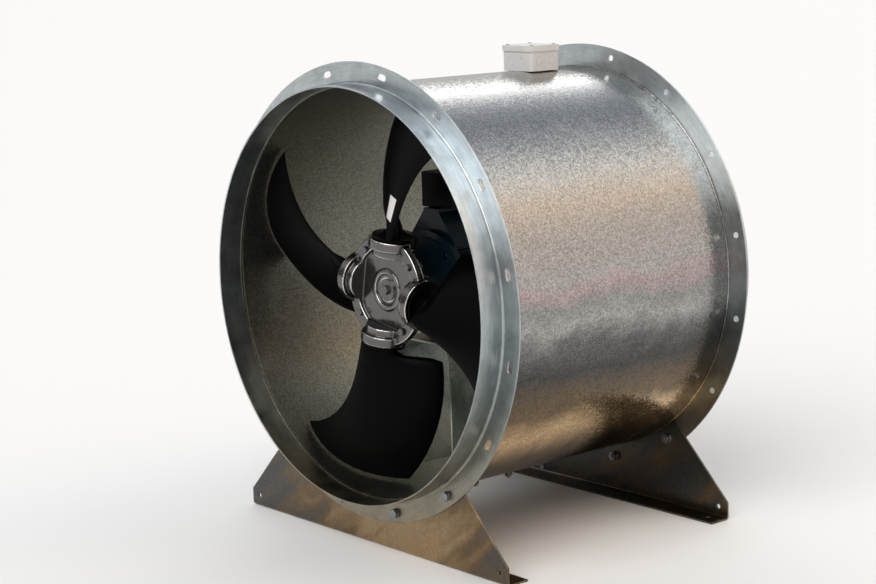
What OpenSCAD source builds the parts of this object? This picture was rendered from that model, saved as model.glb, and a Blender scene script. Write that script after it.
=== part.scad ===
// Long-cased axial duct fan on two plate feet, sized by its 16-hole, 860 mm bolt circle.
// The origin is on the floor under the middle of the casing. The fan axis runs along +Y,
// with the inlet and the impeller at the -Y end. Angles round the axis start at the top
// and grow clockwise as seen from the inlet.

/* [Casing] */
// Outer radius of the rolled casing tube
casing_r = 404; // [390:1:430]
// Sheet thickness of the casing tube
casing_t = 2; // [1.5:0.5:4]
// Distance between the outer faces of the two flanges
casing_len = 612; // [590:1:760]
// Length of each spigot collar in front of its flange
collar_len = 52; // [30:1:80]
// Sheet thickness of the flange rings
ring_t = 3; // [2:0.5:5]
// Width of the flange outside the casing tube
flange_w = 46; // [40:1:60]
// Radius of the bend between collar and flange
ring_bend = 5; // [3:1:8]
// Number of bolt holes in each flange
hole_count = 16; // [12:4:20]
// Diameter of the rear flange holes and width of the front slots
hole_d = 12; // [11:0.5:14]
// Length of the front flange slots
slot_len = 24; // [18:1:32]
// Distance of the bolt circle from the flange edge
hole_inset = 20; // [16:1:24]

/* [Feet] */
// Height of the fan axis above the floor
axis_h = 500; // [480:1:600]
// Width of each foot along the floor
foot_w = 800; // [720:5:900]
// Sheet thickness of the feet
foot_t = 4; // [3:0.5:6]
// Depth of the lip that stands on the floor
foot_lip = 50; // [40:1:70]
// Outside radius of the bend between plate and lip
foot_bend = 8; // [7:0.5:12]
// Height of the upright ends of the plate
foot_end_h = 36; // [30:1:60]
// Angle from the bottom at which the sloping edge meets the casing
foot_reach = 39; // [37:1:46]
// Diameter of the holes in the plate corners
corner_hole_d = 10; // [6:0.5:14]
// Distance of the corner holes from the end and from the floor
corner_inset = 24; // [18:1:30]
// Diameter of the floor holes in the lip
floor_hole_d = 12; // [8:0.5:14]
// Distance of the floor holes from the end of the lip
floor_hole_end = 33; // [20:1:60]
// Distance of the floor holes from the outside of the plate
floor_hole_in = 26; // [22:1:32]

/* [Impeller] */
// Distance from the front flange face to the plane of the blade axes
impeller_inset = 72; // [70:1:100]
// Gap between blade tips and casing
tip_gap = 6; // [4:0.5:12]
// Angle of the first blade axis from the top
blade_phase = 10; // [0:1:90]
// Outer radius of the hub's front half
hub_r = 110; // [106:1:124]
// Thickness of the plate in each hub half
hub_plate = 8; // [6:0.5:12]
// Width of the raised rim on the hub's front half
rim_w = 26; // [22:1:30]
// Radius of the collar at the outer end of each blade socket
lobe_r = 50; // [47:0.5:54]
// Radius of the blade root disc
root_r = 44; // [38:0.5:45]
// Thickness of a blade at its tip
tip_t = 6; // [4:0.5:9]
// Thickness of a blade above its root
blade_t = 15; // [11:0.5:18]

/* [Motor] */
// Distance from the blade plane to the motor's front face
motor_gap = 92; // [80:1:100]
// Length of the finned motor frame
frame_len = 220; // [200:5:260]
// Radius of the motor frame under its fins
frame_r = 92; // [90:1:98]
// Height of the cooling fins
fin_h = 14; // [8:1:16]
// Bore radius of the motor frame
stator_r = 78; // [74:0.5:80]
// Diameter of the shaft end in the hub
shaft_d = 28; // [24:1:29]
// Diameter of the bearing seats
bearing_d = 30; // [30:1:34]
// Height of the fan axis above the motor support
motor_h = 112; // [110:1:125]

/* [Motor support] */
// Sheet thickness of the motor support
support_t = 4; // [3:0.5:6]
// Half of the support's width outside its legs
support_half = 90; // [84:1:110]
// Outside radius of the support's bends
support_bend = 36; // [20:1:38]
// Width of the turned-out strips on the casing
support_strip = 46; // [40:1:70]
// Distance of the support's front edge behind the blade plane
support_gap = 73; // [62:1:80]
// Length of the support along the axis
support_len = 250; // [230:1:270]

/* [Junction box] */
// Width of the box across the axis
box_w = 87; // [78:1:110]
// Length of the box along the axis
box_l = 78; // [72:1:110]
// Height of the box without its lid
box_h = 40; // [32:1:60]
// Height of the lid
lid_h = 12; // [8:1:16]
// Wall thickness of the box and its lid
box_t = 3; // [2:0.5:4]
// Corner radius of the box
box_round = 7; // [5:0.5:8]
// Distance of the box's middle behind the middle of the casing
box_y = 156; // [120:1:180]

/* [Hidden] */
$fn = 64;
fine = 160;

// Clearances between pieces
seat_gap = 0.1;
thread_gap = 0.1;
running_gap = 0.02;
air_gap = 0.6;
foot_gap = 1.5;
hole_gap = 1;
shaft_hole_gap = 1;

// How far a cut runs past a flat face, and past a curved sheet
over = 1;
curve_over = 10;

// Thread that shows beyond a nut, and thread held in a box wall
bolt_tail = 4;
screw_bite = 4;

// Casing and flanges
casing_ri = casing_r - casing_t;
face_y = casing_len / 2;
ring_ri = casing_r + seat_gap;
collar_r = ring_ri + ring_t;
flange_r = casing_r + flange_w;
hole_r = flange_r - hole_inset;
hole_pitch = 360 / hole_count;
foot_y = -face_y + ring_t;

// Metric fasteners: diameter, width across flats, head height, nut height, washer radius and thickness
M10 = [10, 17, 6.4, 8, 10, 2];
M8 = [8, 13, 5.3, 6.5, 8, 1.6];
M6 = [6, 10, 4, 5, 6, 1.6];
M4 = [4, 7, 2.4, 3.2, 4, 0.8];

// Impeller
impeller_y = -face_y + impeller_inset;
tip_r = casing_ri - tip_gap;
blade_count = 4;
rim_lip = 8;
rear_step = 10;
boss_r = 40;
boss_h = 3;
dish_r = 32;
dish_floor = 6;
bush_r = 25;
bush_back = 44;
clamp_in = 18;
clamp_r = hub_r - clamp_in;
centre_bolt_len = 28;
centre_tap = 30;
centre_washer_t = 4;
centre_washer_gap = 3;

// Blade sockets of the hub, measured inwards from the collar's end, and the roots held in them
lobe_step = 4;
lobe_out = hub_r - lobe_step;
socket_len = 34;
socket_face = lobe_out - socket_len;
collar_w = 19;
collar_in = lobe_out - collar_w;
collar_step = 8;
collar_wall = 4;
disc_in = collar_in + collar_wall;
socket_r = lobe_r - collar_step;
socket_wall = 6;
head_wall = 8;
head_h = 8;
head_step = 8;
head_in = socket_face + socket_wall;
head_r = socket_r - head_wall;
neck_r = head_r - head_step;
root_rise = 2;
root_top = hub_r + root_rise;
bell_h = 18;
stem_r = 14;
stem_h = 30;

// Blade sections: edge angles and axial positions over the span, from the root to the tip.
// Each edge leaves the root at a height above the root disc and is full after a second height.
root_overlap = 9;
blade_in = root_top - root_overlap;
lead_flare = [-4, 6];
trail_flare = [12, 36];
root_chord_half = 20;
root_axial_half = 10;
root_t = 24;
lead_turn_root = 16.5;
lead_turn_rise = -12;
lead_turn_bow = 25.5;
trail_turn_root = -45;
trail_turn_rise = 37.5;
lead_y_root = -37;
lead_y_rise = 29;
lead_y_bow = -12;
trail_y_root = 63;
trail_y_rise = 17;
trail_y_bow = -32;
camber_root = 5;
camber_rise = 29;
chord_steps = 13;
span_steps = 16;
station_crowding = 1.6;

// Motor
shield_t = 18;
spigot_h = 6;
bearing_w = 16;
bearing_r = 31;
cap_t = 3;
shield_edge = 4;
shield_step = 14;
shield_floor = 9;
spigot_wall = 6;
pocket_wall = 8;
screw_spot = 4;
screw_tap_gap = 6;
fin_count = 40;
fin_t = 3;
fin_root = 2;
shield_r = frame_r + fin_h;
motor_y = impeller_y + motor_gap;
frame_y = motor_y + shield_t;
frame_end = frame_y + frame_len;
core_len = 140;
core_y = frame_y + (frame_len - core_len) / 2;
rotor_r = 48;
winding_h = 25;
winding_gap = 8;
winding_slot = 6;
shaft_shoulder = 4;
shaft_end_gap = 1;
body_shaft_r = bearing_d / 2 + shaft_shoulder;
shield_screw_in = 7;
shield_screw_r = stator_r + shield_screw_in;
shield_screw_angles = [45 : 90 : 315];
pad_w = 90;
pad_x = 30;
pad_y = 50;
pad_len = 150;
tap_depth = 18;
tap_gap = 3;
pad_mid = frame_y + frame_len / 2;
key_w = 8;
key_h = 7;
key_seat = 4;
key_len = 40;

// Motor support
support_y = impeller_y + support_gap;
strip_r = casing_ri - seat_gap;
strip_in_r = strip_r - support_t;
support_bolt_x = support_half + support_strip / 2;
support_bolt_angle = asin(support_bolt_x / strip_r);
support_bolt_rows = 3;
support_bolt_inset = 35;

// Motor terminal box
tbox_w = 104;
tbox_l = 116;
tbox_back = 16;
tbox_y = frame_y + tbox_back;
tbox_z = 148;
tbox_h = 54;
tbox_lid_h = 15;
tbox_t = 4;
tbox_round = 12;
neck_w = 46;
neck_l = 128;
neck_drop = 6;
neck_fall = 60;
neck_flare = 48;
neck_foot = 36;
gland_r = 12;
gland_nut = 4;
gland_nut_h = 7;
gland_tail = 2;
gland_wall = 6;
gland_len = 20;

// Junction box
box_z = casing_r + seat_gap;
knock_r = 9;
knock_groove = 1.2;
knock_depth = 0.8;
knock_x = 18;
box_screw_in = 14;
box_screw_x = box_w / 2 - box_screw_in;
fixing_tail = 6;
lid_rim = 2.5;
lid_screw_inset = 8;
grommet_r = 10;
grommet_wall = 4;
grommet_lip = 2;
grommet_lip_h = 3;
grommet_tail = 4;

// Small helpers

module at_axis() {
    translate([0, 0, axis_h])
        children();
}

// Turns a shape made along +Z so that it runs along +Y from the given place
module along_y(y = 0) {
    translate([0, y, 0])
        rotate([-90, 0, 0])
            children();
}

module rod(r, y0, y1) {
    along_y(y0)
        cylinder(r = r, h = y1 - y0);
}

module big_rod(r, y0, y1) {
    along_y(y0)
        cylinder(r = r, h = y1 - y0, $fn = fine);
}

module tube(r, bore_r, y0, y1) {
    difference() {
        rod(r, y0, y1);
        rod(bore_r, y0 - over, y1 + over);
    }
}

// Places a child, made on the +Z side, at each of the given angles round the axis
module round_axis(angles) {
    for (a = angles)
        rotate([0, a, 0])
            children();
}

module both_ends() {
    children();
    mirror([0, 1, 0])
        children();
}

module hex_bolt(size, length) {
    rod(size[0] / 2, -size[2] / 2, length);
    along_y(-size[2])
        cylinder(r = size[1] / 2 / cos(30), h = size[2], $fn = 6);
}

module hex_nut(size) {
    difference() {
        along_y()
            cylinder(r = size[1] / 2 / cos(30), h = size[3], $fn = 6);
        rod(size[0] / 2 + thread_gap, -over, size[3] + over);
    }
}

module washer(size) {
    tube(size[4], size[0] / 2 + thread_gap, 0, size[5]);
}

// Round-headed screw with a cross cut, head upwards
module pan_screw(size, length) {
    difference() {
        union() {
            cylinder(r = size[0] / 2, h = length);
            translate([0, 0, length])
                cylinder(r = size[4], h = size[2]);
        }
        for (a = [0, 90])
            translate([0, 0, length + size[2] / 2])
                rotate([0, 0, a])
                    translate([-size[0] / 2, -size[5] / 2, 0])
                        cube([size[0], size[5], size[2]]);
    }
}

// Plate with round corners, standing on z = 0
module rounded_plate(w, l, h, r) {
    linear_extrude(h)
        union() {
            square([w - 2 * r, l], center = true);
            square([w, l - 2 * r], center = true);
            for (x = [-1, 1], y = [-1, 1])
                translate([x * (w / 2 - r), y * (l / 2 - r)])
                    circle(r);
        }
}

// The hollow inside such a plate, with walls of thickness t
module plate_hollow(w, l, h, r, t) {
    rounded_plate(w - 2 * t, l - 2 * t, h, r - t);
}

module corners(x, y) {
    for (i = [-1, 1], j = [-1, 1])
        translate([i * x, j * y, 0])
            children();
}

flange_angles = [for (k = [0 : hole_count - 1]) (k + 0.5) * hole_pitch];
foot_angles = [for (k = [-1.5 : 1.5]) 180 + k * hole_pitch];
blade_angles = [for (k = [0 : blade_count - 1]) blade_phase + k * 360 / blade_count];
between_blades = [for (a = blade_angles) a + 180 / blade_count];

// Casing

module support_bolt_places() {
    for (k = [0 : support_bolt_rows - 1])
        translate([0, support_y + support_bolt_inset
                   + k * (support_len - 2 * support_bolt_inset) / (support_bolt_rows - 1), 0])
            for (side = [-1, 1])
                rotate([0, 180 + side * support_bolt_angle, 0])
                    children();
}

module casing_tube() {
    color("silver")
        at_axis()
            difference() {
                big_rod(casing_r, -face_y, face_y);
                big_rod(casing_ri, -face_y - over, face_y + over);
                support_bolt_places()
                    translate([0, 0, casing_ri - curve_over])
                        cylinder(r = (M8[0] + hole_gap) / 2, h = casing_t + 2 * curve_over);
                translate([0, box_y, casing_ri - curve_over])
                    cylinder(r = grommet_r, h = casing_t + 2 * curve_over);
                for (x = [-1, 1])
                    translate([x * box_screw_x, box_y, casing_ri - curve_over])
                        cylinder(r = M4[0] / 2 + thread_gap, h = casing_t + 2 * curve_over);
            }
}

// Ring of L section: the flange stands on h = 0 and the collar rises from it
module flange_ring() {
    along_y()
        rotate_extrude($fn = fine)
            polygon(concat(
                [[ring_ri, 0], [flange_r, 0], [flange_r, ring_t]],
                [for (a = [0 : 15 : 90])
                    [collar_r + ring_bend * (1 - sin(a)), ring_t + ring_bend * (1 - cos(a))]],
                [[collar_r, ring_t + collar_len], [ring_ri, ring_t + collar_len]]));
}

module slot() {
    half = (slot_len - hole_d) / 2;
    for (x = [-half, half])
        translate([x, 0, 0])
            rod(hole_d / 2, -ring_t, 2 * ring_t);
    translate([-half, -ring_t, -hole_d / 2])
        cube([2 * half, 3 * ring_t, hole_d]);
}

module front_flange_ring() {
    color("lightsteelblue")
        at_axis()
            mirror([0, 1, 0])
                translate([0, face_y - ring_t, 0])
                    difference() {
                        flange_ring();
                        round_axis(flange_angles)
                            translate([0, 0, hole_r])
                                slot();
                    }
}

module rear_flange_ring() {
    color("lightsteelblue")
        at_axis()
            translate([0, face_y - ring_t, 0])
                difference() {
                    flange_ring();
                    round_axis(flange_angles)
                        translate([0, 0, hole_r])
                            rod(hole_d / 2, -over, ring_t + over);
                }
}

// Feet

module foot() {
    seat_r = casing_r + foot_gap;
    reach_x = seat_r * sin(foot_reach);
    reach_z = axis_h - seat_r * cos(foot_reach);
    half = foot_w / 2;
    difference() {
        union() {
            translate([0, foot_y + foot_t, 0])
                rotate([90, 0, 0])
                    linear_extrude(foot_t)
                        polygon([[-half, foot_bend], [half, foot_bend], [half, foot_end_h],
                                 [reach_x, reach_z], [-reach_x, reach_z], [-half, foot_end_h]]);
            translate([-half, foot_y + foot_bend, 0])
                cube([foot_w, foot_lip - foot_bend, foot_t]);
            intersection() {
                translate([-half, foot_y + foot_bend, foot_bend])
                    rotate([0, 90, 0])
                        difference() {
                            cylinder(r = foot_bend, h = foot_w);
                            translate([0, 0, -over])
                                cylinder(r = foot_bend - foot_t, h = foot_w + 2 * over);
                        }
                translate([-half, foot_y, 0])
                    cube([foot_w, foot_bend, foot_bend]);
            }
        }
        at_axis() {
            big_rod(seat_r, foot_y - over, foot_y + foot_t + over);
            round_axis(foot_angles)
                translate([0, 0, hole_r])
                    rod((M10[0] + hole_gap) / 2, foot_y - over, foot_y + foot_t + over);
        }
        for (x = [-1, 1]) {
            translate([x * (half - corner_inset), 0, corner_inset])
                rod(corner_hole_d / 2, foot_y - over, foot_y + foot_t + over);
            translate([x * (half - floor_hole_end), foot_y + floor_hole_in, -over])
                cylinder(r = floor_hole_d / 2, h = foot_t + 2 * over);
        }
    }
}

module front_foot() {
    color("silver")
        foot();
}

module rear_foot() {
    color("silver")
        mirror([0, 1, 0])
            foot();
}

module foot_fixings(y) {
    at_axis()
        both_ends()
            round_axis(foot_angles)
                translate([0, y, hole_r])
                    children();
}

foot_grip = ring_t + foot_t + 2 * M10[5];

module foot_bolts() {
    color("gainsboro")
        foot_fixings(-face_y - M10[5])
            hex_bolt(M10, foot_grip + M10[3] + bolt_tail);
}

module foot_washers() {
    color("gainsboro") {
        foot_fixings(-face_y - M10[5])
            washer(M10);
        foot_fixings(foot_y + foot_t)
            washer(M10);
    }
}

module foot_nuts() {
    color("gainsboro")
        foot_fixings(foot_y + foot_t + M10[5])
            hex_nut(M10);
}

// Motor support: a saddle of bent sheet with strips that follow the casing

module support_saddle() {
    flat_half = support_half - support_bend;
    translate([-flat_half, 0, -motor_h - support_t])
        cube([2 * flat_half, support_len, support_t]);
    for (side = [0, 1])
        mirror([side, 0, 0]) {
            intersection() {
                translate([flat_half, 0, -motor_h - support_bend])
                    difference() {
                        rod(support_bend, 0, support_len);
                        rod(support_bend - support_t, -over, support_len + over);
                    }
                translate([flat_half, 0, -motor_h - support_bend])
                    cube([support_bend, support_len, support_bend]);
            }
            intersection() {
                translate([support_half - support_t, 0, -casing_r])
                    cube([support_t, support_len, casing_r - motor_h - support_bend]);
                big_rod(strip_r, 0, support_len);
            }
            intersection() {
                difference() {
                    big_rod(strip_r, 0, support_len);
                    big_rod(strip_in_r, -over, support_len + over);
                }
                translate([support_half - support_t, 0, -casing_r])
                    cube([support_strip, support_len, casing_r / 2]);
            }
        }
}

module pad_places() {
    translate([0, pad_mid, -motor_h])
        corners(pad_x, pad_y)
            children();
}

module motor_support() {
    color("darkseagreen")
        at_axis()
            difference() {
                translate([0, support_y, 0])
                    support_saddle();
                support_bolt_places()
                    translate([0, 0, strip_in_r - curve_over])
                        cylinder(r = (M8[0] + hole_gap) / 2, h = support_t + 2 * curve_over);
                pad_places()
                    translate([0, 0, -support_t - over])
                        cylinder(r = (M10[0] + hole_gap) / 2, h = support_t + 2 * over);
            }
}

// Heads sit inside on the strips, with a little room under them for the curve of the sheet
module support_bolts() {
    color("gainsboro")
        at_axis()
            support_bolt_places()
                translate([0, 0, strip_in_r - 2 * seat_gap])
                    rotate([90, 0, 0])
                        hex_bolt(M8, support_t + casing_t + M8[3] + bolt_tail);
}

module support_nuts() {
    color("gainsboro")
        at_axis()
            support_bolt_places()
                translate([0, 0, casing_r + seat_gap])
                    rotate([90, 0, 0])
                        hex_nut(M8);
}

// Motor

// Neck under the terminal box, with sloping flanks that spread over the frame
module terminal_neck() {
    bend_x = neck_w / 2 + neck_flare;
    bend_z = tbox_z - neck_drop - neck_fall;
    translate([0, frame_y + neck_l, 0])
        rotate([90, 0, 0])
            linear_extrude(neck_l)
                for (side = [0, 1])
                    mirror([side, 0])
                        polygon([[0, tbox_z], [neck_w / 2, tbox_z], [neck_w / 2, tbox_z - neck_drop],
                                 [bend_x, bend_z], [bend_x, bend_z - neck_foot], [0, bend_z - neck_foot]]);
}

module motor_frame() {
    color("darkslateblue")
        at_axis()
            difference() {
                union() {
                    along_y(frame_y)
                        linear_extrude(frame_len)
                            union() {
                                circle(frame_r, $fn = 96);
                                for (k = [0 : fin_count - 1])
                                    rotate(k * 360 / fin_count)
                                        translate([frame_r - fin_root, -fin_t / 2])
                                            square([fin_h + fin_root, fin_t]);
                            }
                    translate([-pad_w / 2, pad_mid - pad_len / 2, -motor_h])
                        cube([pad_w, pad_len, motor_h - stator_r]);
                    terminal_neck();
                }
                rod(stator_r, frame_y - over, frame_end + over);
                pad_places()
                    translate([0, 0, -over])
                        cylinder(r = M10[0] / 2 + thread_gap, h = tap_depth + over);
                for (y = [frame_y - over, frame_end - tap_depth])
                    round_axis(shield_screw_angles)
                        translate([0, 0, shield_screw_r])
                            rod(M6[0] / 2 + thread_gap, y, y + tap_depth + over);
            }
}

// End shield with its inside at y = 0, facing -Y; a bore of 0 leaves it closed
module end_shield(bore_r) {
    pocket_r = bearing_r + seat_gap;
    difference() {
        union() {
            rod(shield_r, -shield_t + shield_edge, 0);
            rod(shield_r - shield_step, -shield_t, 0);
            rod(stator_r - seat_gap, -over, spigot_h);
        }
        rod(pocket_r, -shield_t + cap_t, spigot_h + over);
        if (bore_r > 0)
            rod(bore_r, -shield_t - over, 0);
        tube(stator_r - spigot_wall, pocket_r + pocket_wall, -shield_t + shield_floor, spigot_h + over);
        round_axis(shield_screw_angles)
            translate([0, 0, shield_screw_r]) {
                rod((M6[0] + hole_gap) / 2, -shield_t - over, over);
                rod(M6[4] + hole_gap, -shield_t - over, -shield_t + screw_spot);
            }
    }
}

module front_end_shield() {
    color("midnightblue")
        at_axis()
            translate([0, frame_y, 0])
                end_shield(bearing_d / 2 + shaft_hole_gap);
}

module rear_end_shield() {
    color("midnightblue")
        at_axis()
            translate([0, frame_end, 0])
                mirror([0, 1, 0])
                    end_shield(0);
}

module end_shield_screws() {
    color("gainsboro")
        at_axis()
            for (end = [0, 1])
                translate([0, end == 0 ? frame_y : frame_end, 0])
                    mirror([0, end, 0])
                        round_axis(shield_screw_angles)
                            translate([0, -shield_t + screw_spot, shield_screw_r])
                                hex_bolt(M6, shield_t - screw_spot + tap_depth - screw_tap_gap);
}

module stator_core() {
    color("dimgray")
        at_axis()
            tube(stator_r - seat_gap, rotor_r + air_gap, core_y, core_y + core_len);
}

module stator_windings() {
    color("chocolate")
        at_axis()
            for (y = [core_y - winding_h, core_y + core_len])
                tube(stator_r - winding_gap, rotor_r + winding_slot, y, y + winding_h);
}

module rotor_core() {
    color("lightslategray")
        at_axis()
            tube(rotor_r, body_shaft_r + running_gap, core_y, core_y + core_len);
}

front_bearing_y = frame_y - shield_t + cap_t;
rear_bearing_y = frame_end + shield_t - cap_t - bearing_w;
shaft_front = impeller_y - dish_floor + shaft_end_gap;
key_y = impeller_y + bush_back - key_len;

module key_block(gap) {
    translate([-key_w / 2 - gap, key_y - gap, shaft_d / 2 - key_seat - gap])
        cube([key_w + 2 * gap, key_len + 2 * gap, key_h + 2 * gap]);
}

module motor_shaft() {
    color("lightgray")
        at_axis()
            difference() {
                union() {
                    rod(shaft_d / 2, shaft_front, front_bearing_y);
                    rod(bearing_d / 2, front_bearing_y - over, rear_bearing_y + bearing_w - shaft_end_gap);
                    rod(body_shaft_r, front_bearing_y + bearing_w + shaft_end_gap,
                        rear_bearing_y - shaft_end_gap);
                }
                key_block(seat_gap / 2);
                rod(M10[0] / 2 + thread_gap, shaft_front - over, shaft_front + centre_tap);
            }
}

module bearing(y) {
    at_axis()
        tube(bearing_r, bearing_d / 2 + running_gap, y, y + bearing_w);
}

module front_bearing() {
    color("gray")
        bearing(front_bearing_y + seat_gap);
}

module rear_bearing() {
    color("gray")
        bearing(rear_bearing_y - seat_gap);
}

module motor_bolts() {
    color("gainsboro")
        at_axis()
            pad_places()
                translate([0, 0, -support_t])
                    rotate([90, 0, 0])
                        hex_bolt(M10, support_t + tap_depth - tap_gap);
}

module tbox_places(inset) {
    translate([0, tbox_y + tbox_l / 2, 0])
        corners(tbox_w / 2 - inset, tbox_l / 2 - inset)
            children();
}

module terminal_box() {
    gland_z = tbox_z + tbox_h / 2;
    color("darkslategray")
        at_axis()
            difference() {
                translate([0, tbox_y + tbox_l / 2, tbox_z])
                    difference() {
                        rounded_plate(tbox_w, tbox_l, tbox_h, tbox_round);
                        translate([0, 0, tbox_t])
                            plate_hollow(tbox_w, tbox_l, tbox_h, tbox_round, tbox_t);
                    }
                translate([0, 0, gland_z])
                    rod(gland_r + thread_gap, tbox_y + tbox_l - 2 * tbox_t, tbox_y + tbox_l + over);
            }
}

module terminal_lid() {
    color("darkslategray")
        at_axis()
            difference() {
                translate([0, tbox_y + tbox_l / 2, tbox_z + tbox_h])
                    difference() {
                        rounded_plate(tbox_w, tbox_l, tbox_lid_h, tbox_round);
                        translate([0, 0, -over])
                            plate_hollow(tbox_w, tbox_l, tbox_lid_h - tbox_t + over, tbox_round, tbox_t);
                    }
                tbox_places(tbox_round)
                    translate([0, 0, tbox_z])
                        cylinder(r = M4[0] / 2 + thread_gap, h = tbox_h + tbox_lid_h + over);
            }
}

module terminal_lid_screws() {
    color("gainsboro")
        at_axis()
            tbox_places(tbox_round)
                translate([0, 0, tbox_z + tbox_h + tbox_lid_h - tbox_t - screw_bite])
                    pan_screw(M4, tbox_t + screw_bite);
}

module terminal_gland() {
    color("black")
        at_axis()
            translate([0, tbox_y + tbox_l, tbox_z + tbox_h / 2])
                difference() {
                    union() {
                        rod(gland_r, -tbox_t - gland_tail, gland_len);
                        along_y()
                            cylinder(r = gland_r + gland_nut, h = gland_nut_h, $fn = 6);
                    }
                    rod(gland_r - gland_wall, -tbox_t - gland_tail - over, gland_len + over);
                }
}

// Impeller

// Blade root, or with a gap its socket, turned about the +Z axis
module root_profile(gap) {
    neck_in = head_in + head_h;
    rotate_extrude()
        polygon([[0, head_in - gap], [head_r + gap, head_in - gap], [head_r + gap, neck_in + gap],
                 [neck_r + gap, neck_in + gap], [neck_r + gap, disc_in - gap],
                 [root_r + gap, disc_in - gap], [root_r + gap, root_top], [0, root_top]]);
}

// Hollow flank from the root disc up to a stem that runs out in the blade
module root_bell() {
    rotate_extrude()
        polygon(concat(
            [[0, root_top - over], [root_r, root_top - over]],
            [for (a = [0 : 15 : 90])
                [stem_r + (root_r - stem_r) * (1 - sin(a)), root_top + bell_h * (1 - cos(a))]],
            [[0, root_top + bell_h + stem_h]]));
}

// Half-round walls of the blade sockets on the -Y side, between two distances from the fan axis
module half_rounds(r, r0, r1) {
    intersection() {
        round_axis(blade_angles)
            translate([0, 0, r0])
                cylinder(r = r, h = r1 - r0);
        rod(2 * hub_r, -2 * lobe_r, 0);
    }
}

// One hub half with the blade plane at y = 0, on the -Y side; its own rims are the children
module hub_half(plate_r) {
    difference() {
        union() {
            rod(plate_r, -hub_plate, 0);
            half_rounds(socket_r, socket_face, disc_in);
            children();
        }
        round_axis(blade_angles)
            root_profile(seat_gap);
        round_axis(between_blades)
            translate([0, 0, clamp_r])
                rod((M8[0] + hole_gap) / 2, -2 * lobe_r, over);
        rod(bush_r + seat_gap, -2 * lobe_r, over);
    }
}

module hub_front() {
    color("lightgray")
        at_axis()
            translate([0, impeller_y, 0])
                difference() {
                    hub_half(hub_r) {
                        tube(hub_r, hub_r - rim_w, -hub_plate - rim_lip, -hub_plate + over);
                        rod(boss_r, -hub_plate - boss_h, 0);
                        half_rounds(lobe_r, collar_in, lobe_out);
                    }
                    rod(dish_r, -2 * lobe_r, -dish_floor);
                }
}

module hub_rear() {
    color("lightgray")
        at_axis()
            translate([0, impeller_y, 0])
                mirror([0, 1, 0])
                    hub_half(hub_r - rear_step)
                        rod(boss_r, -bush_back, 0);
}

module hub_bush() {
    color("dimgray")
        at_axis()
            difference() {
                tube(bush_r, shaft_d / 2 + running_gap, impeller_y - dish_floor, impeller_y + bush_back);
                key_block(seat_gap / 2);
            }
}

module shaft_key() {
    color("gray")
        at_axis()
            key_block(0);
}

module clamp_places(y) {
    at_axis()
        translate([0, y, 0])
            round_axis(between_blades)
                translate([0, 0, clamp_r])
                    children();
}

module hub_clamp_bolts() {
    color("gainsboro")
        clamp_places(impeller_y - hub_plate - rim_lip)
            hex_bolt(M8, 2 * hub_plate + rim_lip + M8[3] + bolt_tail);
}

module hub_clamp_nuts() {
    color("gainsboro")
        clamp_places(impeller_y + hub_plate)
            hex_nut(M8);
}

module hub_centre_bolt() {
    color("gainsboro")
        at_axis()
            translate([0, impeller_y - dish_floor - centre_washer_t, 0])
                hex_bolt(M10, centre_bolt_len);
}

module hub_centre_washer() {
    color("gainsboro")
        at_axis()
            translate([0, impeller_y - dish_floor, 0])
                tube(bush_r - centre_washer_gap, M10[0] / 2 + thread_gap, -centre_washer_t, 0);
}

// Blades: cylinder sections from a round root to a thin cambered tip

function mix(a, b, t) = a + (b - a) * t;
function ease(t) = let (c = min(max(t, 0), 1)) c * c * (3 - 2 * c);
function span_part(r) = (r - hub_r) / (tip_r - hub_r);
function flare(r, span) = ease((r - root_top - span[0]) / span[1]);
function lead_angle(u) = lead_turn_root + lead_turn_rise * u + lead_turn_bow * u * u;
function trail_angle(u) = trail_turn_root + trail_turn_rise * u;
function lead_y(u) = lead_y_root + lead_y_rise * u + lead_y_bow * u * u;
function trail_y(u) = trail_y_root + trail_y_rise * u + trail_y_bow * u * u;
function camber(u) = camber_root + camber_rise * u;

// Edge of the blade as arc length from the blade axis and distance along the fan axis
function arc(r, angle) = r * angle * PI / 180;
function lead_edge(r) = let (u = span_part(r))
    [mix(root_chord_half, arc(r, lead_angle(u)), flare(r, lead_flare)),
     mix(-root_axial_half, lead_y(u), flare(r, lead_flare))];
function trail_edge(r) = let (u = span_part(r))
    [mix(-root_chord_half, arc(r, trail_angle(u)), flare(r, trail_flare)),
     mix(root_axial_half, trail_y(u), flare(r, trail_flare))];
function thickness(r) = mix(root_t, mix(blade_t, tip_t, span_part(r)), flare(r, trail_flare));

// Point of a section: s runs from the leading to the trailing edge, side is -1 or 1
function section_point(r, s, side) =
    let (a = lead_edge(r), b = trail_edge(r), chord = b - a, n = [-chord[1], chord[0]] / norm(chord),
         bow = camber(span_part(r)) * flare(r, trail_flare) * 4 * s * (1 - s),
         half = thickness(r) / 2 * sqrt(1 - pow(2 * s - 1, 4)),
         p = a + chord * s + n * (bow + side * half), turn = p[0] / r * 180 / PI)
    [r * sin(turn), p[1], r * cos(turn)];

function chord_part(k) = (1 - cos(180 * k / chord_steps)) / 2;
function section_ring(r) = concat(
    [for (k = [0 : chord_steps]) section_point(r, chord_part(k), 1)],
    [for (k = [chord_steps - 1 : -1 : 1]) section_point(r, chord_part(k), -1)]);
function station(i) = mix(blade_in, tip_r, pow(i / span_steps, station_crowding));

// Index on the lower side that faces point k of the upper side
function facing(k) = k == 0 ? 0 : k == chord_steps ? chord_steps : 2 * chord_steps - k;
function cap_faces(base, flip) = [
    for (k = [0 : chord_steps - 1])
        for (tri = [[k, k + 1, facing(k + 1)], [k, facing(k + 1), facing(k)]])
            if (tri[0] != tri[1] && tri[1] != tri[2] && tri[0] != tri[2])
                [for (j = [0 : 2]) base + tri[flip ? 2 - j : j]]];

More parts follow.
